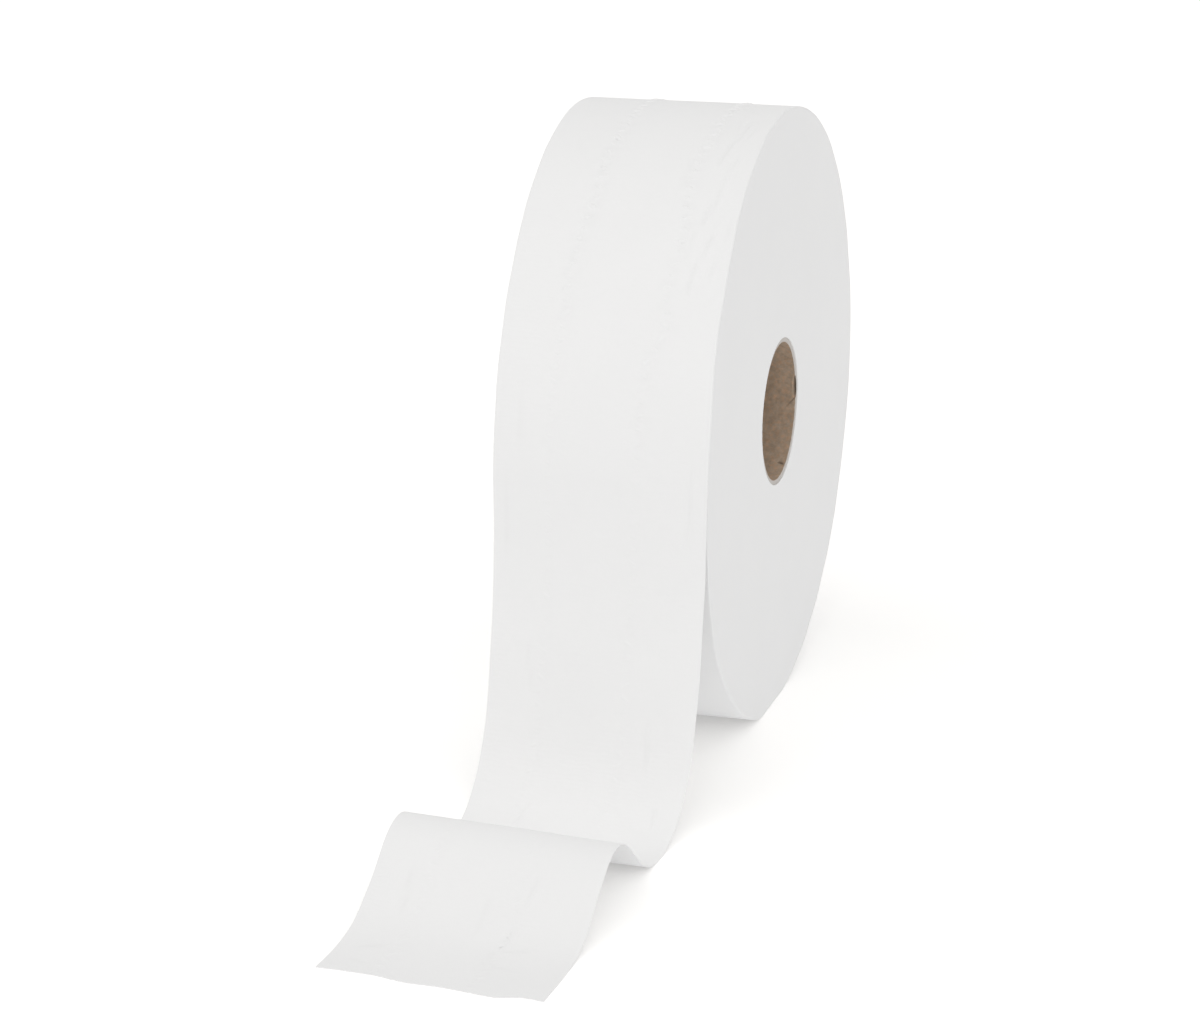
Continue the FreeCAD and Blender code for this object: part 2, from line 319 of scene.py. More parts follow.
# places along the web are in mm from where the loose end leaves the roll, negative on the roll;
# turns of the roll are in degrees up from the front and over the top
tissueRoll = {
    "sheet": 0.3 * mm,            # two plies lying together
    "sideTrim": 0.05 * mm,        # each side of the web inside the widest turn
    "rowStep": 1.7 * mm,          # mesh rows along the web
    "columnStep": 1.8 * mm,
    "rimSpace": (0.7, 0.6),       # column steps left clear beside the left and the right rim
    # closer columns at the bond lines and the creases: from, to and step in mm
    "closeColumns": [(-26, -14, 0.9), (13, 26, 0.9), (26, 43.2, 0.65)],
    # rings of an end face, as shares of the way from just inside the rim to the hole
    "faceRings": [0, 0.02, 0.045, 0.08, 0.13, 0.2, 0.29, 0.4, 0.52, 0.64, 0.76, 0.88, 1],
    "faceInset": 1.0 * mm,
    "boreStrips": 4,
    "coreGap": 0.05 * mm,
    "rimRound": 0.7 * mm,
    "rimTurn": [0, 22.5, 45, 67.5, 90],
    "rimFade": 12.0,              # degrees over which the round rim starts beside the loose end
    "sharpAngle": 55.0,

    # soft unevenness: height, (size across, size along), seed
    "waves": {
        "side": (0.22 * mm, (30 * mm, 16 * mm), 4.9),
        "face": (0.16 * mm, (30 * mm, 26 * mm), 4.9),
        "slow": (0.20 * mm, (38 * mm, 62 * mm), 2.4),
        "quick": (0.05 * mm, (11 * mm, 24 * mm), 8.1),
        "pucker": (1.0, (3.4 * mm, 4.2 * mm), 5.3),
    },
    "sideReach": (34 * mm, 44 * mm),      # the sides wave from here to the rim

    # the loose end: (mm along the web, degrees from straight down)
    "looseHeading": [
        (0, 0), (30, 6.2), (50, 12.7), (66, 15.8), (82, 17.2), (98, 23.4), (114, 36.9), (130, 52.9),
        (147, 71), (163, 92.4), (179, 116), (195, 132.8), (211, 122.5), (228, 83.5), (244, 57),
        (260, 57), (277, 71), (293, 85.5), (310, 91), (326, 90),
    ],
    # degrees more at the right side, and as many less at the left
    "looseTwist": [(0, 0), (54, 0.66), (108, -0.25), (163, -1.2), (217, -1.6), (271, 0.5), (326, 1.3)],
    "looseDrift": [(0, 0), (108, 2.2), (217, -1.2), (326, -3.6)],      # mm sideways
    "looseLength": 325.5,
    "looseStep": 0.5,             # mm between the places where the headings are added up
    "plainDrop": 131.454 * mm,    # how far the headings alone take it down to its lowest place
    "reliefRun": 12,              # mm over which the roll's own relief and sides run out
    "sideRun": 40,
    "looseSide": 1.5,             # its sides wave this many times as much as the roll's
    "settle": (60, 12),           # it comes to lie flat between these distances from its end, mm
    "floorGap": 0.05 * mm,
    # the end torn along its perforation: (share of the width from the left, mm further or shorter)
    "tornEnd": [(0, -7), (0.12, -6.8), (0.27, -5.6), (0.37, -3.2), (0.54, -2.6), (0.68, -0.8),
                (0.79, 0.4), (0.9, -2.2), (1, -1.2)],
    "tornRun": 45,
    "tornRough": 0.35,

    # the outside turns have slipped to the right in front: (mm along the web, mm)
    "rightSlip": [
        (-830, 0), (-640, 0), (-560, 0.4), (-260, 0.5), (-225, 0.1), (-205, 0), (-165, 0.4),
        (-115, 1.1), (-92, 1.6), (-62, 1.7), (-40, 2.1), (-14, 2.2), (0, 1.8), (30, 1.0), (47, 0.6),
        (70, 0.2), (100, 0), (326, 0),
    ],
    "leftSlip": [
        (-830, 0), (-110, 0), (-60, 0.4), (-20, 0.8), (10, 0.8), (30, 0.6), (70, 0.3), (100, 0.5),
        (130, 0.9), (160, 1.5), (175, 1.3), (190, 0.5), (215, -0.2), (240, -0.3), (262, -0.2),
        (285, -1.1), (305, -2.1), (326, -3.6),
    ],
    "rightReach": (-12 * mm, 44 * mm),    # across the web, from nothing to the full slip
    "leftReach": (-4 * mm, 44 * mm),
    "slipDepth": 12.0 * mm,       # how far under the rim the turns have slipped with the outside one
    "slipClosing": (315, 358),    # degrees over which slip and relief come back to those at the front
    "reliefClosing": (345, 360),
    # the left rim isn't quite round: (degrees, mm)
    "leftRound": [(0, 0), (35, 0), (52, 0.3), (66, 0.6), (78, 0.5), (90, -0.3), (105, -1.7),
                  (122, -1.7), (150, -0.4), (180, 0), (360, 0)],
    # the roll sags a little where it stands: (degrees, mm)
    "sag": [(0, 0), (252, 0), (264, 0.2), (271, 0.9), (277, 1.7), (283, 2.3), (292, 1.6), (304, 0.5),
            (320, 0), (360, 0)],

    # the left and the right bond line: (mm along the web, mm across)
    "bondLines": [
        [(-830, -21), (-640, -22), (-480, -19), (-330, -18), (-230, -16.5), (-190, -16),
         (-150, -17.3), (-129, -16.2), (-105, -18.7), (-88, -19.6), (-64, -19.2), (-45, -20.5),
         (0, -21), (100, -22.6), (228, -22.5), (326, -23.5)],
        [(-830, 15), (-700, 17), (-560, 21), (-400, 18), (-260, 21), (-200, 22.7), (-166, 22.3),
         (-154, 21), (-132, 21.6), (-108, 24), (-95, 22.5), (-84, 20.8), (-74, 23), (-62, 21.6),
         (-54, 17.2), (-39, 16.4), (0, 15.1), (200, 14.5), (326, 15)],
    ],
    "bondStrength": [(-830, 0.3), (-420, 0.5), (-230, 1), (-120, 1), (-95, 0.75), (-60, 0.55),
                     (0, 0.35), (120, 0.3), (200, 0.35), (326, 0.4)],
    "bondGroove": 0.16 * mm,
    "bondPucker": 0.42 * mm,
    "bondHalfWidth": 2.4 * mm,
    "bondRunOut": 18 * mm,        # both lines run out towards where the loose end leaves
    "puckerPaintedShade": (0.25, 1.6),   # painted shade at a middling pucker, and how much more lower ones get

    # creases: (across, along) of both ends in mm, and a share of the crease depth
    "creases": [
        ((33, -176), (29, -148), 1.0), ((32.7, -131), (29.5, -114), 1.0), ((36, -115), (32.4, -99), 0.9),
        ((31.3, -101), (28.8, -82), 1.0), ((38.3, -100), (36.5, -90), 0.6),
        ((35.6, -195), (33.2, -166), 0.8), ((34.6, -152), (33, -118), 0.7),
        ((42, -123), (41.3, -108), 0.5), ((27.7, -116), (27.3, -102), 0.6),
        ((37.4, -160), (35.2, -147), 0.6), ((20, -170), (22.4, -147), 0.5),
        ((25, -213), (38.5, -200), 0.7), ((29, -197), (33, -178), 0.5), ((39, -186), (37, -170), 0.5),
        ((-33, -166), (-28, -150), 0.4), ((10, 289), (32, 282), 1.2), ((10, 297), (28, 302), 1.0),
        ((17, 270), (13, 293), 0.9), ((-40, 298), (-24, 293), 1.2), ((-38, 307), (-26, 311), 1.0),
        ((-31, 250), (-28, 278), 0.8), ((3, 258), (2, 284), 0.7), ((20, 244), (17, 264), 0.8),
        ((-40, -12), (-39, 40), 0.6), ((38, -20), (37, 30), 0.5), ((-30, 62), (-26, 88), 0.6),
        ((-33, -52), (-34, -10), 0.5), ((24, 92), (26, 118), 0.6), ((-18, 132), (-24, 150), 0.6),
        ((33, 128), (36, 146), 0.5),
    ],
    "creaseDepth": 0.42 * mm,
    "creaseHalfWidth": 0.95 * mm,
    "shoulder": (0.6, 1.9),       # share of the depth, and its place in half widths
}


def softWave(name, x, y, z):
    height, size, seed = tissueRoll["waves"][name]
    return height * cloud(x, y, z, size, seed)


def webColumns(halfWidth):
    # places across the web and how far each lies under the round of the rim
    look = tissueRoll
    turn = np.radians(look["rimTurn"])
    rim = halfWidth - look["rimRound"] * (1 - np.sin(turn))
    drop = look["rimRound"] * (1 - np.cos(turn))
    first, last = (look["columnStep"] * share for share in look["rimSpace"])
    inner, x = [], -rim[0] + first
    while x < rim[0] - last:
        inner.append(x)
        close = [step * mm for low, high, step in look["closeColumns"] if low * mm <= x < high * mm]
        x += close[0] if close else look["columnStep"]
    across = np.concatenate([-rim[::-1], inner, rim])
    return across, np.concatenate([drop[::-1], np.zeros(len(inner)), drop])


def creaseRelief(across, along):
    # a fold line: a narrow valley with one raised shoulder, running out at both ends, and painted shade
    # in the valley
    look = tissueRoll
    relief, paintedValleyShade = np.zeros_like(across), np.zeros_like(across)
    half = look["creaseHalfWidth"]
    height, place = look["shoulder"]
    for start, end, share in look["creases"]:
        t, offset = alongLine(across, along, np.array(start) * mm, np.array(end) * mm)
        soft = ease(t, 0, 0.3) * (1 - ease(t, 0.7, 1))
        valley = np.exp(-(offset / half) ** 2)
        shoulder = height * np.exp(-((offset - place * half) / half) ** 2)
        relief += look["creaseDepth"] * share * soft * (shoulder - valley)
        # painted shade: the crease's valley is darkened in colour
        paintedValleyShade = np.maximum(paintedValleyShade, share * soft * valley)
    return relief, paintedValleyShade


def bondRelief(across, along, y, z):
    look = tissueRoll
    half = look["bondHalfWidth"]
    level, gain = look["puckerPaintedShade"]
    runOut = 1 - np.exp(-(along / look["bondRunOut"]) ** 2)
    strength = smoothCurve(look["bondStrength"], along / mm) * runOut
    pucker = softWave("pucker", across, y, z)
    relief, paintedValleyShade = np.zeros_like(across), np.zeros_like(across)
    for line in look["bondLines"]:
        offset = across - smoothCurve(line, along / mm) * mm
        near = np.exp(-(offset / (1.5 * half)) ** 2)
        relief -= look["bondGroove"] * strength * np.exp(-(offset / half) ** 2)
        relief += look["bondPucker"] * strength * pucker * near
        # painted shade in the lower puckers beside the bond line
        paintedValleyShade += strength * near * np.clip(level - gain * pucker, 0, 1)
    return relief, paintedValleyShade


def webRelief(across, along, y, z):
    waves = softWave("slow", across, y, z) + softWave("quick", across, y, z)
    bond, bondPaintedShade = bondRelief(across, along, y, z)
    crease, creasePaintedShade = creaseRelief(across, along)
    return waves + bond + crease, np.maximum(bondPaintedShade, creasePaintedShade)


def slipOf(across, along):
    look = tissueRoll
    right = smoothCurve(look["rightSlip"], along / mm) * mm * ease(across, *look["rightReach"])
    return right + smoothCurve(look["leftSlip"], along / mm) * mm * ease(-across, *look["leftReach"])


def sideOf(x, y, z):
    return np.sign(x) * softWave("side", x, y, z) * ease(np.abs(x), *tissueRoll["sideReach"])


def wrapRoll(across, drop):
    # the outside turn, from where the loose end leaves at the front, over the top and round again
    look = tissueRoll
    count = round(2 * math.pi * rollRadius / look["rowStep"])
    share = np.arange(count + 1)[:, None] / count
    x = np.tile(across, (count + 1, 1))
    angle = 2 * math.pi * share + 0 * x
    outY, outZ = -np.cos(angle), np.sin(angle)
    leftShare = (1 - x / across[-1]) / 2
    turned = np.degrees(angle)
    unround = leftShare * smoothCurve(look["leftRound"], turned) + smoothCurve(look["sag"], turned)
    radius = rollRadius - look["sheet"] * share + unround * mm
    y, z = radius * outY, radius * outZ
    along = -rollRadius * angle
    relief, paintedValleyShade = webRelief(x, along, y, z)
    closing = ease(turned, *look["reliefClosing"])
    relief = relief * (1 - closing) + relief[:1] * closing
    rim = drop * ease(turned, 0, look["rimFade"]) * (1 - ease(turned, 360 - look["rimFade"], 360))
    lift = relief - rim
    x = x + sideOf(x, y, z) + slipOf(x, along) + slipOf(x, 0 * x) * ease(turned, *look["slipClosing"])
    y, z = y + lift * outY, np.maximum(z + lift * outZ, floorLevel)
    return np.stack([x, y, z], -1), along, paintedValleyShade


def hangLooseEnd(across, halfWidth):
    # each place across the web follows the same headings with its own share of the twist
    look = tissueRoll
    length, step = look["looseLength"], look["looseStep"]
    fine = np.arange(0, length + 8, step)
    u = across / halfWidth
    twist = smoothCurve(look["looseTwist"], fine)[:, None] * u
    heading = np.radians(smoothCurve(look["looseHeading"], fine)[:, None] + twist)
    forward, down = np.sin(heading), np.cos(heading)

    def addUp(part):
        return np.vstack([np.zeros_like(u), np.cumsum((part[1:] + part[:-1]) / 2 * step, 0)]) * mm

    # stretched a little in height, so that its lowest place lies on the floor
    standFit = (-floorLevel - 1.2 * look["sheet"]) / look["plainDrop"]
    pathY, pathZ = -rollRadius - addUp(forward), -addUp(down) * standFit

    count = round(length * mm / look["rowStep"])
    even = np.linspace(0, length, count + 1)[1:]
    rough = np.array([noise.noise((9 * v, 4.0, 1.0)) for v in u * 3])
    torn = smoothCurve(look["tornEnd"], (u + 1) / 2) + look["tornRough"] * rough
    places = even[:, None] + torn * ease(even, length - look["tornRun"], length)[:, None]

    def sample(values):
        return np.stack([np.interp(places[:, c], fine, values[:, c]) for c in range(len(u))], 1)

    y, z, turn = sample(pathY), sample(pathZ), sample(heading)
    outY, outZ = -np.cos(turn), np.sin(turn)
    along = places * mm
    x = across + smoothCurve(look["looseDrift"], places) * mm + slipOf(across, along)
    relief, paintedValleyShade = webRelief(across + 0 * along, along, y, z)
    ends = across[None, :]
    start = (ends, 0 * ends - rollRadius, 0 * ends)
    own = ease(places, 0, look["reliefRun"])
    relief = relief * own + webRelief(ends, 0 * ends, *start[1:])[0] * (1 - own)
    away = ease(places, 0, look["sideRun"])
    x = x + sideOf(*start) * (1 - away) + look["looseSide"] * sideOf(across + 0 * y, y, z) * away
    front = np.stack([x, y + relief * outY, z + relief * outZ], -1)
    back = front - look["sheet"] * np.stack([0 * x, outY, outZ], -1)

    begin, flat = (length - distance for distance in look["settle"])
    settle = ease(places, begin, flat) * (back[..., 2] - floorLevel - look["floorGap"])
    front[..., 2] = np.maximum(front[..., 2] - settle, floorLevel + look["sheet"])
    back[..., 2] = np.maximum(back[..., 2] - settle, floorLevel)
    return front, back, along, paintedValleyShade


def ringsOf(outline, rollCount, column, side, halfWidth):
    # one end face, as rings of vertices from just inside the rim to the hole
    look = tissueRoll
    holeRadius = coreHigh.z + look["coreGap"]
    edge = outline[:rollCount, column, 1:]
    angle = 2 * math.pi * np.arange(rollCount) / rollCount
    hole = holeRadius * np.stack([-np.cos(angle), np.sin(angle)], -1)
    edge = edge * (1 - look["faceInset"] / np.linalg.norm(edge, axis=1, keepdims=True))
    slips = look["rightSlip"] if side == 1 else look["leftSlip"]
    slip = smoothCurve(slips, -angle * rollRadius / mm) * mm
    slip += smoothCurve(slips, 0) * mm * ease(np.degrees(angle), *look["slipClosing"])
    rings = []
    for share in look["faceRings"]:
        spot = edge * (1 - share) + hole * share
        depth = np.linalg.norm(edge - spot, axis=1) + look["faceInset"]
        wave = softWave("face", spot[:, 0] * 0 + side * halfWidth, spot[:, 0], spot[:, 1])
        x = side * (halfWidth + wave) + slip * np.exp(-depth / look["slipDepth"])
        rings.append(np.column_stack([x, spot]))
    return np.array(rings)


def weaveWeb():
    look = tissueRoll
    halfWidth = webHigh.x - look["sideTrim"]
    across, drop = webColumns(halfWidth)
    roll, rollAlong, rollPaintedShade = wrapRoll(across, drop)
    front, back, looseAlong, loosePaintedShade = hangLooseEnd(across, halfWidth)
    rows = np.concatenate([roll, back, front[::-1]])         # once round the section of the web
    along = np.concatenate([rollAlong, looseAlong, looseAlong[::-1]])
    columns, turns, loose = len(across), len(roll) - 1, len(front)
    lastRing = len(look["faceRings"]) - 1
    corners = rows.reshape(-1, 3)
    webMap = np.stack([np.tile(across, (len(rows), 1)), along], -1).reshape(-1, 2)
    sheetCount = len(corners)

    def at(row, column):
        return (row % len(rows)) * columns + column

    faces = gridFaces(at, len(rows), columns - 1)
    ringStart = {}
    for side, column in ((1, columns - 1), (-1, 0)):
        rings = ringsOf(rows, turns, column, side, halfWidth).reshape(-1, 3)
        ringStart[side] = begin = len(corners)
        corners = np.vstack([corners, rings])
        webMap = np.vstack([webMap, rings[:, 1:]])

        def addFace(*face):
            faces.append(face[::side])

        def ring(n, k):
            return begin + n * turns + k % turns

        # the side of the loose end
        for j in range(loose):
            addFace(at(-j - 1, column), at(turns + j + 1, column), at(turns + j, column), at(-j, column))
        # the wound edge: where the loose end leaves, one more corner lies on the ray
        for k in range(turns):
            extra = [at(turns, column)] if k == 0 else []
            addFace(ring(0, k), ring(0, k + 1), at(k + 1, column), at(k, column), *extra)
        for n in range(lastRing):
            for k in range(turns):
                addFace(ring(n + 1, k), ring(n + 1, k + 1), ring(n, k + 1), ring(n, k))

    # the hole, from one end face to the other
    left, right = (corners[ringStart[side] + lastRing * turns:][:turns] for side in (-1, 1))
    strips = [left * (1 - t) + right * t for t in np.linspace(0, 1, look["boreStrips"] + 1)[1:-1]]
    stripStart = len(corners)
    corners = np.vstack([corners, *strips])
    webMap = np.vstack([webMap, *[strip[:, 1:] for strip in strips]])

    def bore(step, k):
        if step in (0, look["boreStrips"]):
            return ringStart[1 if step else -1] + lastRing * turns + k % turns
        return stripStart + (step - 1) * turns + k % turns

    faces += gridFaces(bore, look["boreStrips"], turns)

    web = meshPiece("tissueRoll", corners.tolist(), faces)
    loops = np.empty(len(web.data.loops), int)
    web.data.loops.foreach_get("vertex_index", loops)
    web.data.uv_layers.new(name="webMap").data.foreach_set("uv", webMap[loops].ravel())
    cut, paintedValleyShade = np.zeros(len(corners)), np.zeros(len(corners))
    cut[sheetCount:] = 1
    # painted shade of the crease and bond-mark valleys, kept for the tissue material
    paintedValleyShade[:sheetCount] = np.concatenate([rollPaintedShade, 0 * loosePaintedShade, loosePaintedShade[::-1]]).ravel()
    storeValues(web.data, "cutEdge", cut)
    storeValues(web.data, "paintedValleyShade", paintedValleyShade)
    web.data.set_sharp_from_angle(angle=math.radians(look["sharpAngle"]))
    web.data.materials.append(tissueMaterial)
    # the side that shows, from the loose end's tip back up over the roll
    shown = np.concatenate([front[::-1], roll])
    return web, shown, np.concatenate([looseAlong[::-1], rollAlong]), across


tissueWeb, shownWeb, shownAlong, webAcross = weaveWeb()
print("tissue web:", len(tissueWeb.data.polygons), "faces")


# the dashes pressed into both bond lines

bondMarks = {
    "pitch": 5.6 * mm,
    "length": 6.6 * mm,
    "width": 3.1 * mm,
    "height": 0.8 * mm,
    "slant": math.radians(30),   # to either side in turn
    "slantRange": (0.5, 1.35),
    "unevenness": 0.5,
    "seed": 11,
    "underside": -0.12,          # times z, which is negative there: a mark is a little hollow underneath
    "sunk": 0.02 * mm,           # the rim lies this far in the sheet
    "reach": 0.6 * mm,           # the sheet is looked for from this far above it
    "rowsLeft": (2, 14),         # rows without marks at the tip and at the end of the turn
    "bridge": 4 * mm,            # points that are further apart aren't joined
    "sharpAngle": 80.0,
}
markSizes = ("Pitch", "Length", "Width", "Height", "Slant", "Unevenness")


def makeMarkTree(material):
    look = bondMarks
    tree = bpy.data.node_groups.new("bondMarkTree", "GeometryNodeTree")
    sockets = [("Geometry", "Geometry"), *[(label, "Float") for label in markSizes],
               ("Seed", "Int"), ("Sheet", "Object")]
    for label, kind in sockets:
        tree.interface.new_socket(label, in_out="INPUT", socket_type="NodeSocket" + kind)
    tree.interface.new_socket("Geometry", in_out="OUTPUT", socket_type="NodeSocketGeometry")
    add = nodeMaker(tree)

    def stored(name, kind):
        node = add("GeometryNodeInputNamedAttribute", {"Name": name}, data_type=kind)
        return node.outputs["Attribute"]

    def keep(name):
        return add("GeometryNodeStoreNamedAttribute", {"Name": name}, data_type="FLOAT", domain="POINT")

    inlet, outlet = add("NodeGroupInput"), add("NodeGroupOutput")
    guide = add("GeometryNodeMeshToCurve")
    even = add("GeometryNodeResampleCurve", mode="LENGTH")
    bead = add("GeometryNodeMeshUVSphere", {"Segments": 8, "Rings": 6, "Radius": 1.0})
    # the ball becomes a soft ridge: its top follows z to the fourth, so that it runs out flat
    where, part = add("GeometryNodeInputPosition"), add("ShaderNodeSeparateXYZ")
    square, steep = (add("ShaderNodeMath", operation="MULTIPLY") for _ in range(2))
    under = add("ShaderNodeMath", {1: look["underside"]}, operation="MULTIPLY")
    crown = add("ShaderNodeMath", {1: 0.0}, operation="GREATER_THAN")
    whole, shaped = add("ShaderNodeCombineXYZ"), add("GeometryNodeSetPosition")
    pick = add("ShaderNodeMix", data_type="FLOAT")
    half = add("ShaderNodeVectorMath", {1: (0.5, 0.5, 1.0)}, operation="MULTIPLY")
    size, flat = add("ShaderNodeCombineXYZ"), add("GeometryNodeTransform")

    # every mark leans to the side that its neighbours don't, and has its own size
    facing = add("FunctionNodeAxesToRotation", primary_axis="Z", secondary_axis="X")
    index = add("GeometryNodeInputIndex")
    odd = add("ShaderNodeMath", {1: 2.0}, operation="MODULO")
    swing = add("ShaderNodeMapRange", {"To Min": -1.0})
    lean = add("FunctionNodeRandomValue", {2: look["slantRange"][0], 3: look["slantRange"][1]})
    slant, swung = (add("ShaderNodeMath", operation="MULTIPLY") for _ in range(2))
    about, toTurn = add("ShaderNodeCombineXYZ"), add("FunctionNodeEulerToRotation")
    turn = add("FunctionNodeRotateRotation", rotation_space="LOCAL")
    least = add("ShaderNodeMath", {0: 1.0}, operation="SUBTRACT")
    uneven = add("FunctionNodeRandomValue")
    grow = add("ShaderNodeMath", operation="MULTIPLY")
    place, real = add("GeometryNodeInstanceOnPoints"), add("GeometryNodeRealizeInstances")

    # every corner of a mark is laid on the sheet and raised by its own share
    keepRise, keepGrow = keep("rise"), keep("grown")
    sheet, nearest = add("GeometryNodeObjectInfo"), add("GeometryNodeProximity")
    above = add("ShaderNodeVectorMath", {"Scale": look["reach"]}, operation="SCALE")
    up = add("ShaderNodeVectorMath", operation="SCALE")
    aim, final = (add("ShaderNodeVectorMath", operation="ADD") for _ in range(2))
    tall, taller = (add("ShaderNodeMath", operation="MULTIPLY") for _ in range(2))
    sunk = add("ShaderNodeMath", {1: look["sunk"]}, operation="SUBTRACT")
    lay, soft = add("GeometryNodeSetPosition"), add("GeometryNodeSetShadeSmooth")
    paint = add("GeometryNodeSetMaterial", {"Material": material})
    joinSockets(tree, [
        (inlet.outputs["Geometry"], guide.inputs["Mesh"]),
        (guide.outputs["Curve"], even.inputs["Curve"]),
        (inlet.outputs["Pitch"], even.inputs["Length"]),
        (inlet.outputs["Length"], size.inputs["X"]),
        (inlet.outputs["Width"], size.inputs["Y"]),
        (inlet.outputs["Height"], size.inputs["Z"]),
        (where.outputs[0], part.inputs[0]),
        (part.outputs["Z"], square.inputs[0]),
        (part.outputs["Z"], square.inputs[1]),
        (square.outputs[0], steep.inputs[0]),
        (square.outputs[0], steep.inputs[1]),
        (square.outputs[0], under.inputs[0]),
        (part.outputs["Z"], crown.inputs[0]),
        (crown.outputs[0], pick.inputs["Factor"]),
        (under.outputs[0], pick.inputs["A"]),
        (steep.outputs[0], pick.inputs["B"]),
        (part.outputs["X"], whole.inputs["X"]),
        (part.outputs["Y"], whole.inputs["Y"]),
        (pick.outputs["Result"], whole.inputs["Z"]),
        (bead.outputs["Mesh"], keepRise.inputs["Geometry"]),
        (pick.outputs["Result"], keepRise.inputs["Value"]),
        (keepRise.outputs["Geometry"], shaped.inputs["Geometry"]),
        (whole.outputs[0], shaped.inputs["Position"]),
        (shaped.outputs["Geometry"], flat.inputs["Geometry"]),
        (size.outputs[0], half.inputs[0]),
        (half.outputs[0], flat.inputs["Scale"]),
        (stored("outward", "FLOAT_VECTOR"), facing.inputs["Primary Axis"]),
        (stored("acrossWeb", "FLOAT_VECTOR"), facing.inputs["Secondary Axis"]),
        (index.outputs[0], odd.inputs[0]),
        (odd.outputs[0], swing.inputs["Value"]),
        (inlet.outputs["Seed"], lean.inputs["Seed"]),
        (swing.outputs["Result"], swung.inputs[0]),
        (lean.outputs[1], swung.inputs[1]),
        (swung.outputs[0], slant.inputs[0]),
        (inlet.outputs["Slant"], slant.inputs[1]),
        (slant.outputs[0], about.inputs["Z"]),
        (about.outputs[0], toTurn.inputs[0]),
        (facing.outputs[0], turn.inputs[0]),
        (toTurn.outputs[0], turn.inputs[1]),
        (inlet.outputs["Unevenness"], least.inputs[1]),
        (least.outputs[0], uneven.inputs[2]),
        (inlet.outputs["Seed"], uneven.inputs["Seed"]),
        (uneven.outputs[1], grow.inputs[0]),
        (stored("strength", "FLOAT"), grow.inputs[1]),
        (uneven.outputs[1], place.inputs["Scale"]),
        (even.outputs["Curve"], keepGrow.inputs["Geometry"]),
        (grow.outputs[0], keepGrow.inputs["Value"]),
        (keepGrow.outputs["Geometry"], place.inputs["Points"]),
        (flat.outputs["Geometry"], place.inputs["Instance"]),
        (turn.outputs[0], place.inputs["Rotation"]),
        (place.outputs["Instances"], real.inputs["Geometry"]),
        (inlet.outputs["Sheet"], sheet.inputs["Object"]),
        (sheet.outputs["Geometry"], nearest.inputs["Geometry"]),
        (stored("outward", "FLOAT_VECTOR"), above.inputs[0]),
        (where.outputs[0], aim.inputs[0]),
        (above.outputs[0], aim.inputs[1]),
        (aim.outputs[0], nearest.inputs["Sample Position"]),
        (stored("rise", "FLOAT"), tall.inputs[0]),
        (stored("grown", "FLOAT"), tall.inputs[1]),
        (tall.outputs[0], taller.inputs[0]),
        (inlet.outputs["Height"], taller.inputs[1]),
        (taller.outputs[0], sunk.inputs[0]),
        (stored("outward", "FLOAT_VECTOR"), up.inputs[0]),
        (sunk.outputs[0], up.inputs["Scale"]),
        (nearest.outputs["Position"], final.inputs[0]),
        (up.outputs[0], final.inputs[1]),
        (real.outputs["Geometry"], lay.inputs["Geometry"]),
        (final.outputs[0], lay.inputs["Position"]),
        (lay.outputs["Geometry"], soft.inputs["Geometry"]),
        (soft.outputs["Geometry"], paint.inputs["Geometry"]),
        (paint.outputs["Geometry"], outlet.inputs["Geometry"]),
    ])
    return tree


def runTree(guide, tree, values, name):
    # sets the inputs by identifier, then turns the result into a plain mesh
    modifier = guide.modifiers.new("marks", "NODES")
    modifier.node_group = tree
    for item in tree.interface.items_tree:
        if item.item_type == "SOCKET" and item.in_out == "INPUT" and item.name in values:
            modifier[item.identifier] = values[item.name]
    graph = bpy.context.evaluated_depsgraph_get()
    plain = bpy.data.meshes.new_from_object(guide.evaluated_get(graph))
    guide.modifiers.remove(modifier)
    piece = addObject(name, plain)
    bpy.data.objects.remove(guide)
    return piece


def bondGuides():
    # both lines as chains of points on the finished surface, with the way out of it
    look = bondMarks
    alongWeb = np.gradient(shownWeb, axis=0)
    acrossWeb = np.gradient(shownWeb, axis=1)
    outward = np.cross(acrossWeb, alongWeb)
    outward /= np.linalg.norm(outward, axis=2, keepdims=True)
    acrossWeb /= np.linalg.norm(acrossWeb, axis=2, keepdims=True)
    points, edges, outs, sides, strengths = [], [], [], [], []
    for line in tissueRoll["bondLines"]:
        for row in range(look["rowsLeft"][0], len(shownWeb) - look["rowsLeft"][1]):
            along = shownAlong[row].mean()
            if along < -30 * mm and shownWeb[row, 0, 2] < floorLevel + 1 * mm:
                continue                                 # the roll stands on this stretch
            place = np.array([along / mm])
            x = smoothCurve(line, place)[0] * mm
            point, out, side = ([np.interp(x, webAcross, values[row, :, i]) for i in range(3)]
                                for values in (shownWeb, outward, acrossWeb))
            if points and np.linalg.norm(np.array(points[-1]) - point) < look["bridge"]:
                edges.append((len(points) - 1, len(points)))
            points.append(point)
            outs.append(out)
            sides.append(side)
            strengths.append(smoothCurve(tissueRoll["bondStrength"], place)[0])
    mesh = bpy.data.meshes.new("bondGuides")
    mesh.from_pydata(points, edges, [])
    storeValues(mesh, "outward", outs, "FLOAT_VECTOR", "vector")
    storeValues(mesh, "acrossWeb", sides, "FLOAT_VECTOR", "vector")
    storeValues(mesh, "strength", strengths)
    return addObject("bondGuides", mesh)


markInputs = {label: bondMarks[label.lower()] for label in (*markSizes, "Seed")}
markInputs["Sheet"] = tissueWeb
bondDashes = runTree(bondGuides(), makeMarkTree(tissueMaterial), markInputs, "bondDashes")
bondDashes.data.set_sharp_from_angle(angle=math.radians(bondMarks["sharpAngle"]))
print("bond dashes:", len(bondDashes.data.polygons), "faces")


# the board core

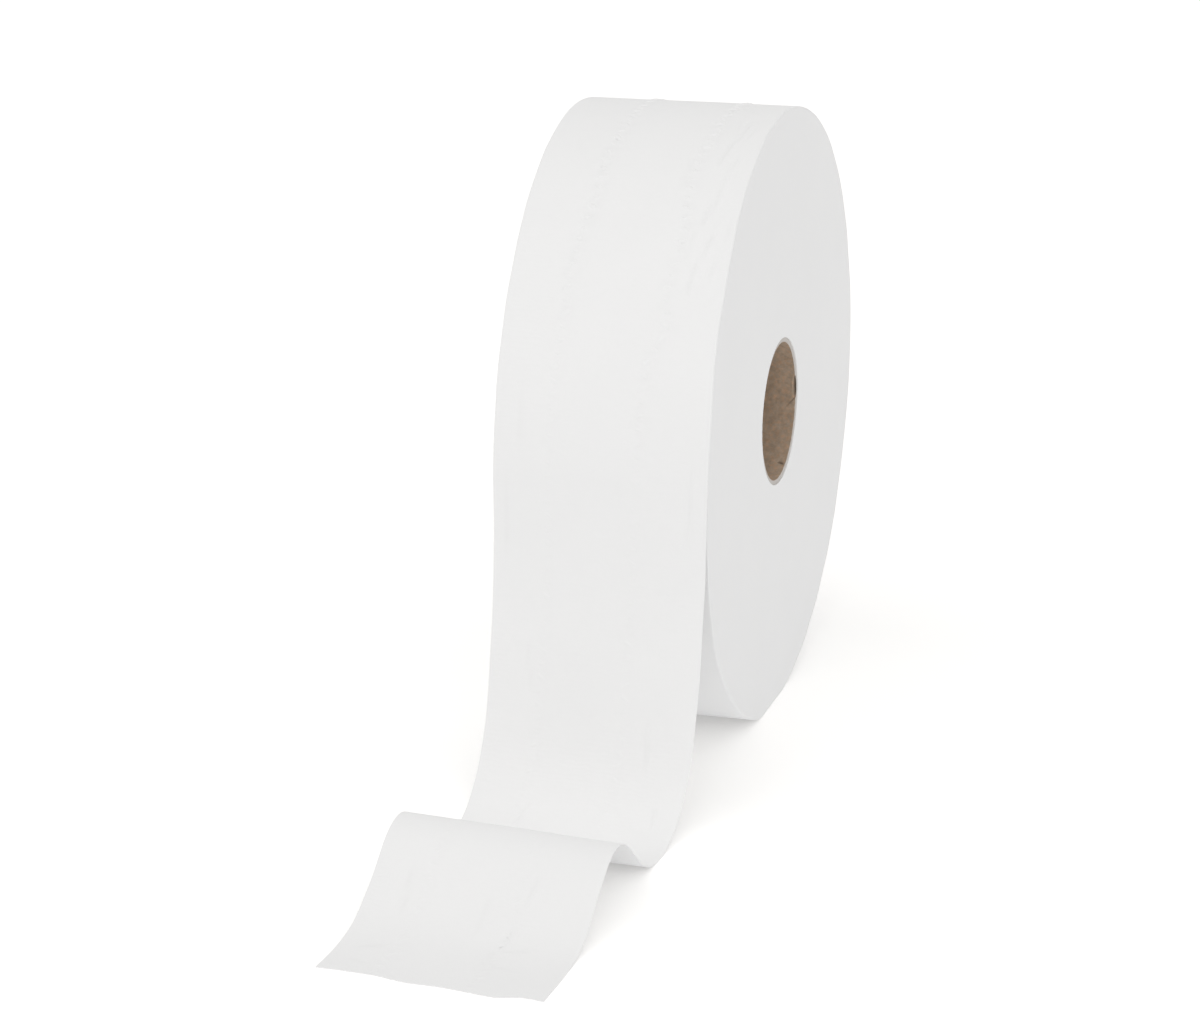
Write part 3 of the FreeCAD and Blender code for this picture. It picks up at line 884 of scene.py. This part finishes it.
boardTube = {
    "wall": 2.0 * mm,
    "around": 360,
    "columnStep": 1.4 * mm,
    "mouthStep": 0.4 * mm,         # closer columns in the last stretch before the right mouth
    "mouthRun": 7.0 * mm,
    "outsideColumns": 10,
    "plies": 5,
    "plyStep": 0.06 * mm,
    "deepest": 0.8,                # share of the wall that a gap in the bore may take
    "sharpAngle": 50.0,
    "seamLead": 165.0 * mm,
    "seamAt": (44.4 * mm, -4.0),   # where the seam meets the right mouth: x, and degrees above the back
    "seamDepth": 0.07 * mm,
    "seamHalfWidth": 0.5 * mm,
    "seamPaintedShade": (0.03, 0.7),      # painted shade in the seam along the tube, and how much more at the mouth
    "shadeRun": (5 * mm, 1 * mm),  # between these distances from the mouth
    "lapStep": 0.05 * mm,          # the ply beside the seam stands up
    "lapHalfWidth": 0.4 * mm,
    "lapFade": 9 * mm,
    "fibreWave": 0.07 * mm,
    "fibreCloud": ((2.2 * mm, 2.2 * mm), 6.6),
    "mouthFuzz": 0.12 * mm,
    "fuzzCloud": ((1.8 * mm, 1.8 * mm), 9.2),
    "fuzzRun": 1.5 * mm,
    "mouthEdge": 0.7,              # how far the bore's edge rows have the look of a cut end
    "liftGap": 1.5 * mm,           # the inner ply has lifted off beside the seam
    "liftFrom": -5.0, "liftTo": 16.0,
    "liftWidth": 0.85 * mm,
    "liftEdge": 0.15 * mm,
    "lip": 0.04 * mm,              # behind the gap the ply stands up
    "lipAt": 0.7 * mm,
    "lipHalfWidth": 0.8 * mm,
    "nick": ((40.8, -63.6), (43.7, -66.0)),   # (mm across, degrees)
    "nickDepth": 0.6 * mm,
    "nickHalfWidth": 0.5 * mm,
    "nickPaintedShade": 0.8,
}


def tubeSection():
    # once round the tube's section, from the bore: (x, radius, on the inside, on a cut end)
    look = boardTube
    outer, inner, half = coreHigh.z, coreHigh.z - look["wall"], coreHigh.x
    mouth, step = half - look["mouthRun"], look["plyStep"]
    bore = np.concatenate([np.arange(-half, mouth, look["columnStep"]),
                           np.arange(mouth, half - 0.05 * mm, look["mouthStep"]), [half]])
    layers = np.linspace(inner, outer, look["plies"] + 1)[1:]
    outside = np.linspace(half, -half, look["outsideColumns"] + 2)[1:-1]
    section = [(x, inner, 1, 0) for x in bore]
    section += [(half - (n % 2) * step, radius, 0, 1) for n, radius in enumerate(layers)]
    section += [(x, outer, 0, 0) for x in outside]
    section += [(-half + (n % 2) * step, radius, 0, 1) for n, radius in enumerate(layers[::-1])]
    return np.array(section)


def boreRelief(x, degrees, y, z):
    # how far the inside stands back from the plain bore, in metres, and how much painted shade its gaps
    # get
    look = boardTube
    inner = coreHigh.z - look["wall"]
    seam = look["seamAt"][1] + (x - look["seamAt"][0]) / look["seamLead"] * 360
    gap = np.radians((degrees - seam + 180) % 360 - 180) * inner
    groove = np.exp(-(gap / look["seamHalfWidth"]) ** 2)
    relief = look["seamDepth"] * groove
    relief -= (look["lapStep"] * ease(gap, -look["lapHalfWidth"], look["lapHalfWidth"])
               * np.exp(-np.maximum(gap, 0) / look["lapFade"]))
    relief += look["fibreWave"] * cloud(x, y, z, *look["fibreCloud"])
    # the lifted corner of the inner ply: a crescent gap at the mouth, and the ply's lip behind it
    middle, reach = (look["liftFrom"] + look["liftTo"]) / 2, (look["liftTo"] - look["liftFrom"]) / 2
    window = np.sqrt(np.clip(1 - ((degrees - middle) / reach) ** 2, 0, 1))
    width = look["liftWidth"] * window + 0.05 * mm
    fromMouth = coreHigh.x - look["liftEdge"] - x
    crescent = window * np.exp(-(np.maximum(fromMouth, 0) / width) ** 6)
    fromLip = (fromMouth - width - look["lipAt"]) / look["lipHalfWidth"]
    relief += look["liftGap"] * crescent
    relief -= look["lip"] * window**2 * np.exp(-fromLip ** 2)
    start, end = (np.array([at * mm, math.radians(turn) * inner]) for at, turn in look["nick"])
    t, off = alongLine(x, np.radians(degrees) * inner, start, end)
    nick = np.exp(-(off / look["nickHalfWidth"]) ** 2) * ease(t, -0.1, 0.3) * (1 - ease(t, 0.8, 1.1))
    relief += look["nickDepth"] * nick
    # painted shade: the seam's groove is darkened, more near the mouth, and so are the crescent gap and
    # the nick
    far, close = (coreHigh.x - run for run in look["shadeRun"])
    inTube, atMouth = look["seamPaintedShade"]
    seamPaintedShade = groove * (inTube + atMouth * ease(x, far, close))
    return relief, np.maximum(np.maximum(crescent, look["nickPaintedShade"] * nick), seamPaintedShade)


def rollTube():
    look = boardTube
    section = tubeSection()
    # radians from the back, positive upwards
    turn = np.linspace(-math.pi, math.pi, look["around"], endpoint=False)[:, None]
    x, radius, inside, cutEnd = (section[:, n] + 0 * turn for n in range(4))
    y, z = np.cos(turn) * radius, np.sin(turn) * radius
    stand, shade = boreRelief(x, np.degrees(turn) + 0 * x, y, z)
    depth = inside * np.minimum(stand, look["wall"] * look["deepest"])
    ends = ease(np.abs(x), coreHigh.x - look["fuzzRun"], coreHigh.x) * (radius < coreHigh.z - 0.1 * mm)
    x = x - np.sign(x) * ends * look["mouthFuzz"] * (0.5 + cloud(x, y, z, *look["fuzzCloud"]))
    layer = np.clip((coreHigh.z - radius) / look["wall"], 0, 1)
    lastInside = int(section[:, 2].sum()) - 1
    # the plies at the right end make room for the gap
    follow = cutEnd * (x > 0) * depth[:, [lastInside]] * layer
    radius = radius + depth + follow
    corners = np.stack([x, np.cos(turn) * radius, np.sin(turn) * radius], -1).reshape(-1, 3)
    around, count = look["around"], len(section)
    faces = gridFaces(lambda k, n: (k % around) * count + n % count, around, count)
    tube = meshPiece("boardCore", corners.tolist(), faces)
    cutEnd[:, [0, lastInside]] = look["mouthEdge"]
    storeValues(tube.data, "cutEdge", cutEnd)
    # painted shade of the bore's gaps, kept for the board material
    storeValues(tube.data, "paintedGapShade", shade * inside)
    tube.data.set_sharp_from_angle(angle=math.radians(look["sharpAngle"]))
    tube.data.materials.append(boardMaterial)
    return tube


boardCore = rollTube()
print("board core:", len(boardCore.data.polygons), "faces")


# studio

studio = {
    "floorHalf": 6.0,
    "floorGap": 0.02 * mm,
    "floorColour": (0.86, 0.86, 0.86),
    "floorRoughness": 0.9,
    "floorGlow": 0.25,                  # a light table: the floor also lights the shaded underside
    "seenColour": (1.19, 1.182, 1.17),  # what the camera sees of the floor is paler
    "seenGlow": 0.01,
    "ambient": 0.57,
    "lights": {
        "keyLight": {"power": 0.98, "from": (-18.0, 60.0), "colour": (1.0, 0.992, 0.978)},
        "fillLight": {"power": 0.295, "from": (75.0, 48.0), "colour": (1.0, 1.0, 1.0)},
    },
    "softness": 90.0,                   # degrees of the sky that each light takes up
    "camera": (0.5022, -1.8953, 0.5716), "turn": 15.85, "tilt": 17.64, "lens": 141.09,
}


def seenByCamera(tree):
    # 1 on camera rays, also by way of a glossy or a clear surface
    path = tree.nodes.new("ShaderNodeLightPath")
    first, second = (nodeMaker(tree)("ShaderNodeMath", operation="MAXIMUM") for _ in range(2))
    joinSockets(tree, [
        (path.outputs["Is Camera Ray"], first.inputs[0]),
        (path.outputs["Is Glossy Ray"], first.inputs[1]),
        (first.outputs[0], second.inputs[0]),
        (path.outputs["Is Transmission Ray"], second.inputs[1]),
    ])
    return second.outputs[0]


def layFloor():
    half, z = studio["floorHalf"], floorLevel - studio["floorGap"]
    corners = [(x * half, y * half, z) for x, y in ((-1, -1), (1, -1), (1, 1), (-1, 1))]
    floor = meshPiece("floor", corners, [(0, 1, 2, 3)])
    material, tree, shader = startMaterial("paleFloor", studio["floorRoughness"], 0.0)
    add = nodeMaker(tree)
    seen = seenByCamera(tree)
    glow, both = add("ShaderNodeEmission"), add("ShaderNodeAddShader")
    power = add("ShaderNodeMapRange", {"To Min": studio["floorGlow"], "To Max": studio["seenGlow"]})
    tones = {"A": (*studio["floorColour"], 1), "B": (*studio["seenColour"], 1)}
    pale = add("ShaderNodeMix", tones, data_type="RGBA")
    joinSockets(tree, [
        (seen, power.inputs["Value"]),
        (seen, pale.inputs["Factor"]),
        (power.outputs["Result"], glow.inputs["Strength"]),
        (pale.outputs["Result"], shader.inputs["Base Color"]),
        (shader.outputs[0], both.inputs[0]),
        (glow.outputs[0], both.inputs[1]),
        (both.outputs[0], tree.nodes["Material Output"].inputs["Surface"]),
    ])
    floor.data.materials.append(material)


def lightFrom(name, look):
    lamp = bpy.data.lights.new(name, "SUN")
    lamp.energy, lamp.color = look["power"], look["colour"]
    lamp.angle = math.radians(studio["softness"])
    # turn 0 is the front, positive to the right
    turn, height = (math.radians(v) for v in look["from"])
    flat = math.cos(height)
    source = Vector((math.sin(turn) * flat, -math.cos(turn) * flat, math.sin(height)))
    addObject(name, lamp).rotation_euler = source.to_track_quat("Z", "Y").to_euler()


def setWorld():
    world = bpy.data.worlds.new("studio")
    bpy.context.scene.world = world
    world.use_nodes = True
    tree = world.node_tree
    add = nodeMaker(tree)
    room, seen = tree.nodes["Background"], add("ShaderNodeBackground", {"Color": (1, 1, 1, 1)})
    room.inputs["Color"].default_value = (1, 1, 1, 1)
    room.inputs["Strength"].default_value = studio["ambient"]
    mix = add("ShaderNodeMixShader")
    joinSockets(tree, [
        (seenByCamera(tree), mix.inputs[0]),
        (room.outputs[0], mix.inputs[1]),
        (seen.outputs[0], mix.inputs[2]),
        (mix.outputs[0], tree.nodes["World Output"].inputs["Surface"]),
    ])


def placeCamera():
    lens = bpy.data.cameras.new("camera")
    lens.lens, lens.sensor_width = studio["lens"], 36
    lens.clip_end = 50
    camera = addObject("camera", lens)
    camera.location = studio["camera"]
    camera.rotation_euler = (math.radians(90 - studio["tilt"]), 0, math.radians(studio["turn"]))
    bpy.context.scene.camera = camera
    bpy.context.scene.view_settings.view_transform = "Standard"


layFloor()
for name, look in studio["lights"].items():
    lightFrom(name, look)
setWorld()
placeCamera()
print("studio set")

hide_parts("tissue_web")
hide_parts("cardboard_core")
for piece in (tissueWeb, bondDashes, boardCore):
    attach(piece, "root")

bpy.context.view_layer.update()
